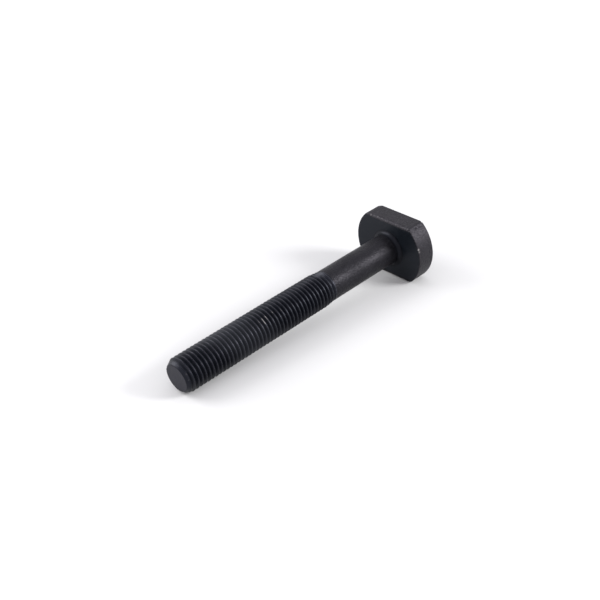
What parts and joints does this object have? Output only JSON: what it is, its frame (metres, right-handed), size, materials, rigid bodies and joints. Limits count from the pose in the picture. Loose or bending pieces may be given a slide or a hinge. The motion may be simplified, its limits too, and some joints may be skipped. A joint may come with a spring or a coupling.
{
  "type": "t-head bolt",
  "caption": "T-head bolt with a round head cut by two flats, a plain reduced shank, a long coarse metric thread and a chamfered point, in black oxide steel.",
  "frame": {"origin": "centre of the bearing face under the head, on the shank's axis", "axes": "+X along the shank from the bearing face to the threaded end, +Z out of one of the head's two flats, +Y towards a round side of the head"},
  "size_m": [0.1355, 0.039, 0.0296],
  "materials": {
    "forged_head": "black oxide over a forged and trimmed surface, satin, edges slightly brighter",
    "plain_shank": "black oxide over a drawn or turned surface, satin with faint rings round the shank",
    "rolled_thread": "black oxide over a rolled thread, satin, crests slightly brighter"
  },
  "bodies": {
    "root": {"head": "forged_head", "neck": "plain_shank", "shank": "plain_shank", "thread_runout": "rolled_thread", "thread": "rolled_thread", "point": "rolled_thread"}
  },
  "joints": []
}
